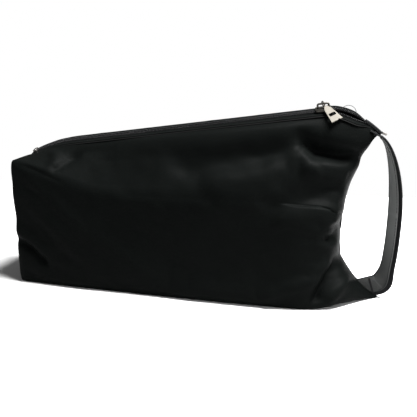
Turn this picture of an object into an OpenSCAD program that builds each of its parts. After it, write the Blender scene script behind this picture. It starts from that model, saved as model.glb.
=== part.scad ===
// Soft shoe bag lying on its long side: a fabric pouch with a boxed base end,
// a flat handle end, a zip along its upper ridge and a webbing handle strap.
// Millimetres. X runs from the base end to the handle end, Z is up.
// The origin is the centre of the box's underside.

/* [Bag] */
// Distance from the origin to the flat base end
base_x = 188; // [160:1:210]
// Height of the base end's upper edge
base_h = 128; // [110:1:140]
// Half the depth of the bag at its base end
half_base = 40; // [32:1:46]
// Half the depth of the bag at its fullest
half_full = 49; // [42:1:54]
// Height of the shoulder between wall and roof
shoulder_h = 100; // [85:1:112]
// Thickness of the coated fabric
fabric_t = 1.2; // [0.8:0.1:1.6]

/* [Handle end] */
// X of the end seam at its waist
seam_waist_x = 133; // [120:1:140]
// X of the end seam's upper corner
seam_top_x = 163; // [150:1:170]
// X of the end seam's lower tip
seam_tip_x = 172; // [160:1:176]
// Height of the end seam's upper corner
seam_top_z = 156; // [145:1:160]

/* [Zip] */
// Height of the zip where its straight stretch meets the slider
zip_z = 175; // [168:1:180]
// Rise of the straight stretch, in degrees
zip_rise = 7.1; // [5:0.1:9]
// Lean of the zip towards the front, in degrees
zip_lean = 20; // [0:1:25]
// X of the slider's centre
slider_x = 112; // [104:1:116]
// Width of one half of the zip tape
tape_w = 12; // [10:0.5:14]
// Width of tape that shows beside the teeth
tape_show = 7; // [6:0.5:9]

/* [Strap] */
// Width of the webbing
strap_w = 20; // [16:1:25]
// Thickness of the outer webbing
outer_t = 1.5; // [1:0.1:2]
// Thickness of the grey facing
facing_t = 1.2; // [0.8:0.1:1.6]

/* [Hidden] */

gap = 0.3;                 // clearance between the two panels' edges
seam_half = 1.6;           // half the thickness of the closed end seam
waist_z = 65;              // height of the end seam's waist
mouth_x0 = 114;            // X where the two halves of the zip start to part
mouth_open = 5;            // how far each half stands off the middle
straight_x0 = -136;        // X where the zip starts to drop to the base end
base_drop = 9;             // drop of the zip at the base end
n_len = 26;                // panel stations along the bag
n_girth = 20;              // panel stations around the bag
binding_t = 1;             // thickness of the binding tape
coil_h = 2;                // height of the coil above the tape
coil_in = 0.75;            // inner face of each coil, from the zip's middle
coil_out = 2.8;            // outer face of each coil
tape_t = 0.6;              // thickness of the tape

function clamp01(v) = min(1, max(0, v));
function mix(a, b, f) = a + (b - a) * f;
function smooth(v) = let(c = clamp01(v)) c * c * (3 - 2 * c);
function unit(v) = v / max(norm(v), 0.000001);

// ---- the zip's line along the ridge -------------------------------------
function ridge_line(x) = zip_z + (x - slider_x) * tan(zip_rise);
end_fall = ridge_line(seam_top_x) - seam_top_z;
function ridge(x) = ridge_line(x)
  - (x < straight_x0 ? base_drop * pow((straight_x0 - x) / (base_x + straight_x0), 2) : 0)
  - (x > slider_x + 4
     ? end_fall * pow((x - slider_x - 4) / (seam_top_x - slider_x - 4), 1.6) : 0);
function mouth(x) = x < mouth_x0 ? 0
  : mouth_open * pow(sin(180 * clamp01((x - mouth_x0) / (seam_top_x - mouth_x0))), 0.7);
// Everything draws together at the handle end, and the lean dies out there.
function draw_in(x) = 1 - 0.75 * smooth((x - 138) / (seam_top_x - 138));
function lean(x) = zip_lean * (1 - smooth((x - 140) / (seam_top_x - 140)));
// A point v across the zip and w above its tape. A negative v is the front.
function zip_point(x, v, w) = let(
    side = v < 0 ? -1 : 1,
    across = (v + side * mouth(x)) * draw_in(x))
  [x, across * cos(lean(x)) - w * sin(lean(x)),
   ridge(x) + across * sin(lean(x)) + w * cos(lean(x))];

// ---- the bag's skin -------------------------------------------------------
function seam_x(z) = z > waist_z
  ? seam_waist_x + (seam_top_x - seam_waist_x) * pow((z - waist_z) / (seam_top_z - waist_z), 2.2)
  : seam_waist_x + (seam_tip_x - seam_waist_x) * pow((waist_z - z) / waist_z, 2.6);
function seam_z(t) = seam_top_z * pow(1 - t, 1.7);

roof_t = 0.30;             // share of the girth taken by the roof
wall_t = 0.72;             // share taken by the roof and the wall
corner_t = 0.035;          // share over which the corners are rounded
function half_depth(x) = mix(half_base, half_full, sin(90 * clamp01((x + base_x) / 260)));
function shoulder(x) = mix(base_h - 2, shoulder_h, smooth((x + base_x) / 90));

// Corner points of the cross-section at x, each [distance from the middle, height].
function section_corner(x, side, k) =
  k == 0 ? let(p = zip_point(x, side * tape_show, tape_t / 2 + 0.1)) [abs(p[1]), p[2]]
  : k == 1 ? [half_depth(x), shoulder(x)]
  : k == 2 ? [half_depth(x), 0]
  : [gap, 0];
function section_raw(x, side, t) = let(c = clamp01(t))
  c < roof_t ? mix(section_corner(x, side, 0), section_corner(x, side, 1), c / roof_t)
  : c < wall_t ? mix(section_corner(x, side, 1), section_corner(x, side, 2),
                     (c - roof_t) / (wall_t - roof_t))
  : mix(section_corner(x, side, 2), section_corner(x, side, 3), (c - wall_t) / (1 - wall_t));
function section(x, side, t) = let(d = min(corner_t, t, 1 - t))
  (section_raw(x, side, t - d) + 2 * section_raw(x, side, t)
   + section_raw(x, side, t + d)) / 4;

close_s = 0.82;            // share of the length where the depth starts to close
function close_in(s) = s < close_s ? 1
  : sqrt(max(0, 1 - pow((s - close_s) / (1 - close_s), 2.6)));
function close_z(s, t) = pow(clamp01((s - 0.7) / 0.3), t > roof_t ? 5 : 3);
// Skin point: s runs along the bag, t round it from the zip to the bottom seam.
function skin(s, t, side) = let(
    x = mix(-base_x, seam_x(seam_z(t)), s),
    p = section(x, side, t),
    lip = 1 - smooth(t / 0.12),
    depth = max(p[0] * mix(close_in(s), 1, lip), seam_half * (1 - t) + gap * t),
    z = mix(p[1], seam_z(t), close_z(s, t) * (1 - lip)))
  [x, side * depth, z];
// Column k: the flat base end comes first, then the walls up to the end seam.
function station(i) = pow(i / n_len, 0.9);
function face_height(t) = mix(base_h - 3, 3, t);
function grid_point(k, j, side) = let(t = j / n_girth)
  k == 0 ? [-base_x, side * gap, face_height(t)]
  : k == 1 ? (skin(0, t, side) + [-base_x, side * gap, face_height(t)]) / 2
             + [0, t == 1 ? side : 0, 0]
  : skin(station(k - 2), t, side);
n_col = n_len + 2;

module panel(side) {
  outer = [for (k = [0 : n_col]) [for (j = [0 : n_girth]) grid_point(k, j, side)]];
  inner = [for (k = [0 : n_col]) [for (j = [0 : n_girth])
    let(
      du = outer[min(k + 1, n_col)][j] - outer[max(k - 1, 0)][j],
      dv = outer[k][min(j + 1, n_girth)] - outer[k][max(j - 1, 0)],
      n = k < 2 ? [1, 0, 0] : unit(cross(dv, du)) * side,
      stretch = k == 2 ? 1.35 : 1,
      q = outer[k][j] + n * fabric_t * stretch,
      least = k == 0 || k == n_col || j == n_girth ? gap : gap + 0.1)
    [k == n_col ? outer[k][j][0] : q[0], side * max(least, side * q[1]),
     j == n_girth && k > 1 && k < n_col ? max(q[2], fabric_t) : q[2]]]];
  row = n_girth + 1;
  total = (n_col + 1) * row;
  points = concat([for (c = outer) each c], [for (c = inner) each c]);
  function quad(a, b, c, d) = side < 0 ? [[a, b, c], [a, c, d]] : [[c, b, a], [d, c, a]];
  faces = concat(
    [for (k = [0 : n_col - 1], j = [0 : n_girth - 1])
      let(a = k * row + j) each quad(a, a + row, a + row + 1, a + 1)],
    [for (k = [0 : n_col - 1], j = [0 : n_girth - 1])
      let(a = total + k * row + j) each quad(a + 1, a + row + 1, a + row, a)],
    [for (k = [0 : n_col - 1])
      let(a = k * row) each quad(total + a, total + a + row, a + row, a)],
    [for (k = [0 : n_col - 1])
      let(a = k * row + n_girth) each quad(a, a + row, total + a + row, total + a)],
    [for (j = [0 : n_girth - 1]) each quad(j, j + 1, total + j + 1, total + j)],
    [for (j = [0 : n_girth - 1])
      let(a = n_col * row + j) each quad(total + a, total + a + 1, a + 1, a)]);
  polyhedron(points, faces);
}

// A closed ribbon through a list of four-cornered rings.
module ribbon(rings) {
  last = len(rings) - 1;
  points = [for (r = rings) each r];
  faces = concat(
    [[3, 2, 1, 0], [for (k = [0 : 3]) last * 4 + k]],
    [for (i = [0 : last - 1], k = [0 : 3])
      let(a = i * 4 + k, b = i * 4 + (k + 1) % 4) each [[a, b, b + 4], [a, b + 4, a + 4]]]);
  polyhedron(points, faces);
}

// A ribbon along the zip from v0 to v1 across it and w0 to w1 above its tape.
module zip_strip(x0, x1, v0, v1, w0, w1) {
  steps = 30;
  side = v0 < 0 ? -1 : 1;
  a = side > 0 ? v0 : v1;
  b = side > 0 ? v1 : v0;
  rings = [for (i = [0 : steps]) let(x = mix(x0, x1, pow(i / steps, 0.7)))
    side > 0
    ? [zip_point(x, a, w0), zip_point(x, b, w0), zip_point(x, b, w1), zip_point(x, a, w1)]
    : [zip_point(x, b, w0), zip_point(x, a, w0), zip_point(x, a, w1), zip_point(x, b, w1)]];
  ribbon(rings);
}

module front_panel() { color("#101314") panel(-1); }
module back_panel() { color("#101314") panel(1); }

// ---- bindings on the seams, inside the bag -------------------------------
module handle_end_binding() {
  steps = 16;
  rings = [for (i = [0 : steps]) let(z = mix(12, seam_top_z - 12, i / steps), x = seam_x(z) - 2.5)
    [[x - 8, -0.8, z], [x, -0.8, z], [x, 0.8, z], [x - 8, 0.8, z]]];
  color("#1b1c1e") ribbon(rings);
}
module bottom_seam_binding() {
  color("#1b1c1e") translate([-base_x + 6, -4, fabric_t])
    cube([base_x + seam_waist_x - 14, 8, binding_t]);
}
module base_seam_binding() {
  color("#1b1c1e") translate([-base_x + fabric_t, -4, 12])
    cube([binding_t, 8, base_h - 34]);
}
module box_binding(z) {
  color("#1b1c1e") translate([-base_x + fabric_t, -half_base + 8, z])
    cube([binding_t, 2 * half_base - 16, 8]);
}
module box_binding_upper() { box_binding(base_h - 20); }
module box_binding_lower() { box_binding(3); }

// ---- zip -------------------------------------------------------------------
tape_x0 = -base_x + 3;
tape_x1 = seam_top_x - 3;
module zip_tape(side) {
  color("#141516") zip_strip(tape_x0, tape_x1, side * coil_in, side * tape_w, -tape_t / 2, tape_t / 2 - 0.1);
}
module zip_coil(side) {
  color("#26272a")
    zip_strip(tape_x0 + 6, tape_x1 - 3, side * coil_in, side * coil_out,
              tape_t / 2, tape_t / 2 + coil_h);
}
module zip_tape_front() { zip_tape(-1); }
module zip_tape_back() { zip_tape(1); }
module zip_coil_front() { zip_coil(-1); }
module zip_coil_back() { zip_coil(1); }

// Moves to a point on the zip's middle, with X along the zip and Z off its tape.
module on_zip(x, slope) {
  translate([x, 0, ridge(x)]) rotate([0, -slope, 0]) rotate([lean(x), 0, 0]) children();
}
module base_stop() {
  color("#8d8578") on_zip(tape_x0 + 3, 22)
    translate([-2, -3.2, 0.4]) cube([4, 6.4, 2.8]);
}
module end_stop() {
  color("#b5aea2") translate([seam_top_x + 0.5, 0, seam_top_z + 0.3]) rotate([0, 22, 0])
    translate([0, -2, 0]) cube([5, 4, 2.4]);
}
module end_tab() {
  color("#1d1c1b") hull() {
    translate([seam_top_x - 14, -6, ridge(seam_top_x - 14) + 2.6]) cube([2, 12, 1.4]);
    translate([seam_top_x - 2, -6.5, seam_top_z + 1]) cube([2, 13, 1.4]);
  }
}
loop_r = 7.2;              // half the span of the thread loop
module thread_loop() {
  color("#3a3c3e") translate([134, 10, ridge(134) + 1.4]) rotate([0, 10, 0])
    rotate([90, 0, 0]) rotate_extrude(angle = 180, $fn = 48) translate([loop_r, 0]) circle(d = 0.8, $fn = 16);
}

// ---- slider and puller --------------------------------------------------------
slider_l = 15;
slider_w = 10;
plate_t = 1.3;
top_w = 2.9;               // underside of the slider's upper plate above the tape
bridge_r = 0.9;
bridge_w = 8.2;             // height of the bridge bar above the tape
bridge_l = 10;
module slider_plate(w) {
  translate([0, 0, w]) linear_extrude(plate_t) offset(r = 2, $fn = 32)
    polygon([[-slider_l / 2 + 2, -slider_w / 2 + 3], [slider_l / 2 - 2, -slider_w / 2 + 2],
             [slider_l / 2 - 2, slider_w / 2 - 2], [-slider_l / 2 + 2, slider_w / 2 - 3]]);
}
module slider_body() {
  color("#7d756a") on_zip(slider_x, zip_rise) {
    slider_plate(top_w);
    slider_plate(-1 - plate_t);
    translate([4.2, -0.45, -1.2]) cube([2.6, 0.9, top_w + 1.4]);
    for (u = [-bridge_l / 2, bridge_l / 2]) translate([u, 0, top_w + plate_t - 0.2])
      cylinder(r = bridge_r, h = bridge_w - top_w - plate_t + 0.2, $fn = 32);
    translate([-bridge_l / 2 - bridge_r, 0, bridge_w]) rotate([0, 90, 0])
      cylinder(r = bridge_r, h = bridge_l + 2 * bridge_r, $fn = 32);
  }
}
// The puller hangs over the front slope from an eye on the bridge.
pull_l = 24;
pull_t = 1.3;
pull_dir = unit([0.55, -0.59, -0.59]);
pull_axis = unit([1, 0, 0] - pull_dir * pull_dir[0]);
eye_r = 2.8;               // radius of the eye's wire line
eye_wire = 0.75;
bridge_mid = [slider_x, -bridge_w * sin(zip_lean), ridge(slider_x) + bridge_w * cos(zip_lean)];
module puller() {
  normal = cross(pull_dir, pull_axis);
  frame = [[pull_dir[0], pull_axis[0], normal[0], bridge_mid[0]],
           [pull_dir[1], pull_axis[1], normal[1], bridge_mid[1]],
           [pull_dir[2], pull_axis[2], normal[2], bridge_mid[2]]];
  color("#8b8376") multmatrix(frame) {
    rotate([90, 0, 0]) rotate_extrude($fn = 48) translate([eye_r, 0]) circle(r = eye_wire, $fn = 16);
    translate([eye_r + 0.2, -0.55, -0.4]) cube([4, 1.1, 0.8]);
    translate([0, 0, -pull_t / 2]) linear_extrude(pull_t) difference() {
      offset(r = 1.2, $fn = 32) polygon([[5.5, -2.2], [8, -3.6], [pull_l - 1.2, -4.6],
                                         [pull_l - 1.2, 4.6], [8, 3.6], [5.5, 2.2]]);
      translate([14, -3]) square([3.2, 6]);
      translate([pull_l - 0.4, 2]) circle(r = 0.9, $fn = 24);
    }
  }
}

// ---- handle strap -----------------------------------------------------------------
strap_low = [165, 0, 12];  // centre of the strap where it leaves the lower corner
strap_high = [163, 0, 153];
strap_bulge = 180.3;        // X of the strap's middle line at mid-height
low_gap = 1.5;             // bare stretch between the loop and its lower tail
high_gap = 4.6;            // the same at the top, where the wide face swings past the tail
function strap_mid(a) = let(zm = (strap_low[2] + strap_high[2]) / 2,
    zr = (strap_high[2] - strap_low[2]) / 2)
  a < 0 ? [mix(strap_low[0], strap_bulge, pow(cos(a), 0.55)), 0, zm + zr * sin(a)]
  : [mix(strap_high[0], strap_bulge, pow(cos(a), 1.15)), 0, zm + zr * sin(a)];
function strap_dir(a) = unit(strap_mid(min(a + 2, 90)) - strap_mid(max(a - 2, -90)));
function strap_twist(a) = 61 * smooth((a + 92) / 50) + 29 * smooth(a / 84);
function strap_ring(a, side0, side1) = let(
    d = strap_dir(a),
    n = [-d[2], 0, d[0]],
    w = n * cos(strap_twist(a)) + [0, sin(strap_twist(a)), 0],
    m = n * sin(strap_twist(a)) - [0, cos(strap_twist(a)), 0],
    c = strap_mid(a))
  [c - w * strap_w / 2 + m * side0, c + w * strap_w / 2 + m * side0,
   c + w * strap_w / 2 + m * side1, c - w * strap_w / 2 + m * side1];
module strap_layer(side0, side1) {
  steps = 32;
  ribbon([for (i = [0 : steps]) strap_ring(mix(-84, 84, i / steps), side0, side1)]);
}
module strap_outer() { color("#17191b") strap_layer(-outer_t, 0); }
module strap_facing() { color("#6f7274") strap_layer(0, facing_t); }
// A tail runs from where the loop starts back into the seam.
module strap_tail(a, bare, reach) {
  d = strap_dir(a) * (a < 0 ? -1 : 1);
  ring = strap_ring(a, -outer_t, facing_t);
  color("#17191b") ribbon([for (r = a < 0 ? [reach, bare] : [bare, reach])
    [for (p = ring) p + d * r]]);
}
module strap_tail_lower() { strap_tail(-84, low_gap, 6.5); }
module strap_tail_upper() { strap_tail(84, high_gap, 12); }
module bar_tack(a, reach) {
  d = strap_dir(a) * (a < 0 ? -1 : 1);
  ring = strap_ring(a, -outer_t - 0.5, facing_t + 0.5);
  color("#0c0d0e") ribbon([for (r = a < 0 ? [reach + 1.6, reach] : [reach, reach + 1.6])
    [for (p = ring) p + d * r]]);
}
module bar_tack_lower() { bar_tack(-84, 4.4); }
module bar_tack_upper() { bar_tack(84, 7); }

front_panel();
back_panel();
handle_end_binding();
bottom_seam_binding();
base_seam_binding();
box_binding_upper();
box_binding_lower();
zip_tape_front();
zip_tape_back();
zip_coil_front();
zip_coil_back();
base_stop();
end_stop();
end_tab();
thread_loop();
slider_body();
puller();
strap_tail_upper();
strap_tail_lower();
strap_outer();
strap_facing();
bar_tack_upper();
bar_tack_lower();
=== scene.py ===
# %% [markdown]
# # A soft zip-up shoe bag
# This lesson dresses a packed shoe bag: a black nylon pouch that lies on its long side, with a boxed
# base end, a flat sewn handle end, a coil zip along its ridge and a two-faced webbing strap. The frame
# holds every size and joint, so each piece below is computed where the frame says, in millimetres, and
# turned into metres only when its mesh is made.

# %% Set up
import math

import bmesh
import bpy
import numpy as np
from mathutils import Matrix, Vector


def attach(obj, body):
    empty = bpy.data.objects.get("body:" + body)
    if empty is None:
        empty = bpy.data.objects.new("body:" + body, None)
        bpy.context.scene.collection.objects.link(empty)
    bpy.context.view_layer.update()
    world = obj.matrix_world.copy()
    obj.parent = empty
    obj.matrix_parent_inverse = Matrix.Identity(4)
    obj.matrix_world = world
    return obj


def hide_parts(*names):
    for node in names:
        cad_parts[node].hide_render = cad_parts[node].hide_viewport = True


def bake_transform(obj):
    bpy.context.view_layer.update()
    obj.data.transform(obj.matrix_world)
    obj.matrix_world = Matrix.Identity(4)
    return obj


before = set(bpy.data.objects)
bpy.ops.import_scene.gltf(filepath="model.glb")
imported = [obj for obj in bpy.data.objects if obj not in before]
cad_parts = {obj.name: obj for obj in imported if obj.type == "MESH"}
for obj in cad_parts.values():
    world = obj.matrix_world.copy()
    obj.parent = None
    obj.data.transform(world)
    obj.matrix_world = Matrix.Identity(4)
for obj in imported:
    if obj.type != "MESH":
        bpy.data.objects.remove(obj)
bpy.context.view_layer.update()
MM = 0.001


def link_new(name, data):
    """A new object that holds the data, put in the scene."""
    piece = bpy.data.objects.new(name, data)
    bpy.context.scene.collection.objects.link(piece)
    return piece


# %% [markdown]
# ## The camera
# The bag is seen slightly from the right and a little from above, with a 45 mm lens at half a metre.
# The camera's place is worked out from two angles and a distance, which is easier to reason about than
# three coordinates.

# %% Camera
TARGET = Vector((0.004, 0.0, 0.079))
AZIMUTH, ELEVATION, DISTANCE = math.radians(13), math.radians(13), 0.52125
LENS_MM, SENSOR_MM = 45, 36
back = Vector((math.sin(AZIMUTH) * math.cos(ELEVATION),
               -math.cos(AZIMUTH) * math.cos(ELEVATION), math.sin(ELEVATION)))
camera_data = bpy.data.cameras.new("camera")
camera_data.lens, camera_data.sensor_width = LENS_MM, SENSOR_MM
camera_data.clip_start = 0.01
camera = link_new("camera", camera_data)
camera.location = TARGET + back * DISTANCE
camera.rotation_euler = (-back).to_track_quat("-Z", "Y").to_euler()
bpy.context.scene.camera = camera
bpy.context.scene.view_settings.view_transform = "Standard"
print("camera at", [round(v, 3) for v in camera.location])

# %% [markdown]
# ## Helpers: grids, tubes and meshes
# Nearly every piece of the bag is a sheet or a tube, so it is a grid of points. A grid turns into quads
# by pairing each point with its neighbours, and numpy does that for the whole grid at once.

# %% Grid helpers
def grid_quads(rows, cols, wrap=False, flip=False, offset=0):
    """Quads of a rows x cols grid of points. wrap joins the last column to the first."""
    r = np.arange(rows - 1)[:, None]
    c = np.arange(cols if wrap else cols - 1)[None, :]
    nxt = (c + 1) % cols
    quads = np.stack([r * cols + c, (r + 1) * cols + c, (r + 1) * cols + nxt, r * cols + nxt], -1)
    quads = quads.reshape(-1, 4) + offset
    return quads[:, ::-1] if flip else quads


def make_mesh(name, points, quads, uv=None, smooth=True):
    """An object from points in millimetres and quads. uv holds one pair per point."""
    mesh = bpy.data.meshes.new(name)
    points = np.asarray(points, float).reshape(-1, 3) * MM
    quads = np.asarray(quads)
    mesh.vertices.add(len(points))
    mesh.vertices.foreach_set("co", points.ravel())
    mesh.loops.add(quads.size)
    mesh.loops.foreach_set("vertex_index", quads.ravel())
    mesh.polygons.add(len(quads))
    mesh.polygons.foreach_set("loop_start", np.arange(len(quads)) * quads.shape[1])
    mesh.polygons.foreach_set("use_smooth", np.full(len(quads), smooth))
    if uv is not None:
        layer = mesh.uv_layers.new(name="UVMap")
        layer.data.foreach_set("uv", np.asarray(uv, float).reshape(-1, 2)[quads.ravel()].ravel())
    mesh.update(calc_edges=True)
    return link_new(name, mesh)


def finish_piece(piece, body, material, replaced=()):
    """Gives a piece its material and its place in the assembly."""
    piece.data.materials.append(material)
    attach(piece, body)
    if replaced:
        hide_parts(*replaced)
    print(f"{piece.name}: {len(piece.data.vertices)} points, rides on {body}")
    return piece


def mix(a, b, f):
    """a where f is 0 and b where f is 1."""
    return a + (b - a) * f


def smooth(v):
    """0 below 0, 1 above 1, and a smooth S between."""
    c = np.clip(v, 0, 1)
    return c * c * (3 - 2 * c)


def unit(v):
    """Vectors of length 1 along the last axis."""
    return v / np.maximum(np.linalg.norm(v, axis=-1, keepdims=True), 1e-9)

print("a 3 x 3 grid has", len(grid_quads(3, 3)), "quads")

# %% [markdown]
# ## Cloth and metal finishes
# Woven nylon is made of crossing yarns, so its grain is two families of ridges. The group below turns a
# piece's own UV map, laid out in millimetres along its threads, into a height for bump and a tone that
# varies from yarn to yarn. The same group serves the fabric, the tapes and the webbing with other pitches.

# %% Shader groups
def new_group(name, inputs, outputs):
    """A shader node group with the named sockets."""
    group = bpy.data.node_groups.new(name, "ShaderNodeTree")
    for label, kind, value in inputs:
        socket = group.interface.new_socket(name=label, in_out="INPUT", socket_type=kind)
        if value is not None:
            socket.default_value = value
    for label, kind in outputs:
        group.interface.new_socket(name=label, in_out="OUTPUT", socket_type=kind)
    return group, group.nodes.new("NodeGroupInput"), group.nodes.new("NodeGroupOutput")


def add_math(tree, operation, a, b=None, c=None, clamp=False):
    """The output of a Math node on up to three sockets or numbers."""
    node = tree.nodes.new("ShaderNodeMath")
    node.operation = operation
    node.use_clamp = clamp
    for socket, value in zip(node.inputs, (a, b, c)):
        if isinstance(value, bpy.types.NodeSocket):
            tree.links.new(value, socket)
        elif value is not None:
            socket.default_value = value
    return node.outputs[0]


def add_noise(tree, vector, scale, detail=3.0):
    """A noise texture's value output."""
    node = tree.nodes.new("ShaderNodeTexNoise")
    node.inputs["Scale"].default_value = scale
    node.inputs["Detail"].default_value = detail
    tree.links.new(vector, node.inputs["Vector"])
    return node.outputs["Fac"]


def build_weave_group():
    """Yarns: height is the larger of two rows of half-sine ridges that take turns on top."""
    group, inner, outer = new_group(
        "woven_yarns",
        [("Vector", "NodeSocketVector", None), ("Across per mm", "NodeSocketFloat", 2.5),
         ("Along per mm", "NodeSocketFloat", 2.5)],
        [("Height", "NodeSocketFloat"), ("Tone", "NodeSocketFloat")])

    def node(operation, *values):
        return add_math(group, operation, *values)

    split = group.nodes.new("ShaderNodeSeparateXYZ")
    group.links.new(inner.outputs["Vector"], split.inputs[0])
    u = node("MULTIPLY", split.outputs["X"], inner.outputs["Across per mm"])
    v = node("MULTIPLY", split.outputs["Y"], inner.outputs["Along per mm"])
    ridge_u, ridge_v = (node("ABSOLUTE", node("SINE", node("MULTIPLY", way, math.pi))) for way in (u, v))
    turn = node("ADD", node("FLOOR", u), node("FLOOR", v))
    over = node("MODULO", node("ABSOLUTE", turn), 2.0)
    low_u = node("MULTIPLY", ridge_u, node("MULTIPLY_ADD", over, 0.6, 0.5))
    low_v = node("MULTIPLY", ridge_v, node("SUBTRACT", 1.0, node("MULTIPLY", over, 0.6)))
    height = node("MAXIMUM", node("ADD", low_u, node("MULTIPLY", ridge_u, 0.4)), low_v)
    group.links.new(height, outer.inputs["Height"])
    cell = group.nodes.new("ShaderNodeCombineXYZ")
    group.links.new(node("FLOOR", u), cell.inputs["X"])
    group.links.new(node("MULTIPLY", v, 0.02), cell.inputs["Y"])
    white = group.nodes.new("ShaderNodeTexWhiteNoise")
    white.noise_dimensions = "2D"
    group.links.new(cell.outputs[0], white.inputs["Vector"])
    group.links.new(white.outputs["Value"], outer.inputs["Tone"])
    return group


def build_wear_group():
    """Dust and rubbing: soft cloud noise, and a mask for convex edges from Geometry's pointiness."""
    group, inner, outer = new_group(
        "dust_and_wear",
        [("Vector", "NodeSocketVector", None), ("Cloud scale", "NodeSocketFloat", 9.0)],
        [("Cloud", "NodeSocketFloat"), ("Speck", "NodeSocketFloat"), ("Edge", "NodeSocketFloat")])
    cloud = group.nodes.new("ShaderNodeTexNoise")
    cloud.inputs["Detail"].default_value = 4.0
    group.links.new(inner.outputs["Vector"], cloud.inputs["Vector"])
    group.links.new(inner.outputs["Cloud scale"], cloud.inputs["Scale"])
    group.links.new(cloud.outputs["Fac"], outer.inputs["Cloud"])
    speck = add_noise(group, inner.outputs["Vector"], 900.0, 1.0)
    group.links.new(add_math(group, "POWER", speck, 6.0), outer.inputs["Speck"])
    geometry = group.nodes.new("ShaderNodeNewGeometry")
    edge = group.nodes.new("ShaderNodeMapRange")
    edge.inputs["From Min"].default_value = 0.51
    edge.inputs["From Max"].default_value = 0.60
    group.links.new(geometry.outputs["Pointiness"], edge.inputs["Value"])
    group.links.new(edge.outputs[0], outer.inputs["Edge"])
    return group


WEAVE = build_weave_group()
WEAR = build_wear_group()
print("groups:", WEAVE.name, WEAR.name)

# %% [markdown]
# ## Materials
# Each finish is one Principled shader fed by the two groups. The colours are very dark: matt black nylon
# sends back about a quarter of one per cent of the light, and dust and rubbed edges only a little more.

# %% Material makers
def start_material(name):
    """A new material with its tree, its Principled shader and its coordinate node."""
    material = bpy.data.materials.new(name)
    material.use_nodes = True
    tree = material.node_tree
    shader = tree.nodes["Principled BSDF"]
    coords = tree.nodes.new("ShaderNodeTexCoord")
    return material, tree, shader, coords


def place_group(tree, group, vector, **values):
    """Puts a group in a material and feeds it its vector and its own values."""
    node = tree.nodes.new("ShaderNodeGroup")
    node.node_tree = group
    tree.links.new(vector, node.inputs["Vector"])
    for label, value in values.items():
        node.inputs[label.replace("_", " ")].default_value = value
    return node


def blend_color(tree, factor, a, b):
    """A colour that goes from a to b with factor; a and b are colours or sockets."""
    node = tree.nodes.new("ShaderNodeMix")
    node.data_type = "RGBA"
    tree.links.new(factor, node.inputs["Factor"])
    for socket, value in ((node.inputs[6], a), (node.inputs[7], b)):
        if isinstance(value, bpy.types.NodeSocket):
            tree.links.new(value, socket)
        else:
            socket.default_value = (*value, 1.0)
    return node.outputs[2]


def add_surface(tree, shader, color, cloud, spread, base):
    """Feeds the shader its colour, and a roughness of base plus spread times the clouding."""
    tree.links.new(color, shader.inputs["Base Color"])
    tree.links.new(add_math(tree, "MULTIPLY_ADD", cloud, spread, base), shader.inputs["Roughness"])


def add_bump(tree, shader, height, strength, height_mm):
    """Feeds the shader a bump of the given height."""
    node = tree.nodes.new("ShaderNodeBump")
    node.inputs["Strength"].default_value = strength
    node.inputs["Distance"].default_value = height_mm * MM
    tree.links.new(height, node.inputs["Height"])
    tree.links.new(node.outputs[0], shader.inputs["Normal"])


def cloth_material(name, dark, light, across, along, rough=0.5, specular=0.02, bump=0.25,
                   dust=(0.012, 0.012, 0.0115), height_mm=0.12, solid=False):
    """Woven cloth: yarn tone, clouding and dust in the colour, yarns in the bump. A solid has no UV map, so
    its threads follow its own coordinates, turned so that no side of a box is edge-on."""
    material, tree, shader, coords = start_material(name)
    threads = coords.outputs["UV"]
    if solid:
        turned = tree.nodes.new("ShaderNodeMapping")
        turned.inputs["Rotation"].default_value = (0.6, 0.5, 0.0)
        turned.inputs["Scale"].default_value = (1 / MM, 1 / MM, 1 / MM)
        tree.links.new(coords.outputs["Object"], turned.inputs["Vector"])
        threads = turned.outputs["Vector"]
    yarns = place_group(tree, WEAVE, threads, Across_per_mm=across, Along_per_mm=along)
    wear = place_group(tree, WEAR, coords.outputs["Object"])
    tone = add_math(tree, "MULTIPLY", yarns.outputs["Tone"], 0.35)
    tone = add_math(tree, "ADD", tone, add_math(tree, "MULTIPLY", wear.outputs["Cloud"], 0.75), clamp=True)
    color = blend_color(tree, tone, dark, light)
    dusty = add_math(tree, "MULTIPLY", wear.outputs["Speck"], 0.5, clamp=True)
    color = blend_color(tree, dusty, color, dust)
    rubbed = add_math(tree, "MULTIPLY", wear.outputs["Edge"], 0.15)
    color = blend_color(tree, rubbed, color, tuple(2.2 * c for c in light))
    add_surface(tree, shader, color, wear.outputs["Cloud"], 0.18, rough - 0.09)
    shader.inputs["Specular IOR Level"].default_value = specular
    add_bump(tree, shader, yarns.outputs["Height"], bump, height_mm)
    return material


def paint_shade_near_floor(material, low, high, share):
    """Darkens a material's colour below a height, down to a share of itself: painted shade toward the floor.
    """
    tree = material.node_tree
    shader = tree.nodes["Principled BSDF"]
    link = shader.inputs["Base Color"].links[0]
    split = tree.nodes.new("ShaderNodeSeparateXYZ")
    coords = tree.nodes.new("ShaderNodeTexCoord")
    tree.links.new(coords.outputs["Object"], split.inputs[0])
    ramp = tree.nodes.new("ShaderNodeMapRange")
    ramp.inputs["From Min"].default_value = low * MM
    ramp.inputs["From Max"].default_value = high * MM
    ramp.inputs["To Min"].default_value = share
    tree.links.new(split.outputs["Z"], ramp.inputs["Value"])
    dim = tree.nodes.new("ShaderNodeVectorMath")
    dim.operation = "SCALE"
    tree.links.new(link.from_socket, dim.inputs[0])
    tree.links.new(ramp.outputs[0], dim.inputs["Scale"])
    tree.links.new(dim.outputs[0], shader.inputs["Base Color"])
    return material


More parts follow.
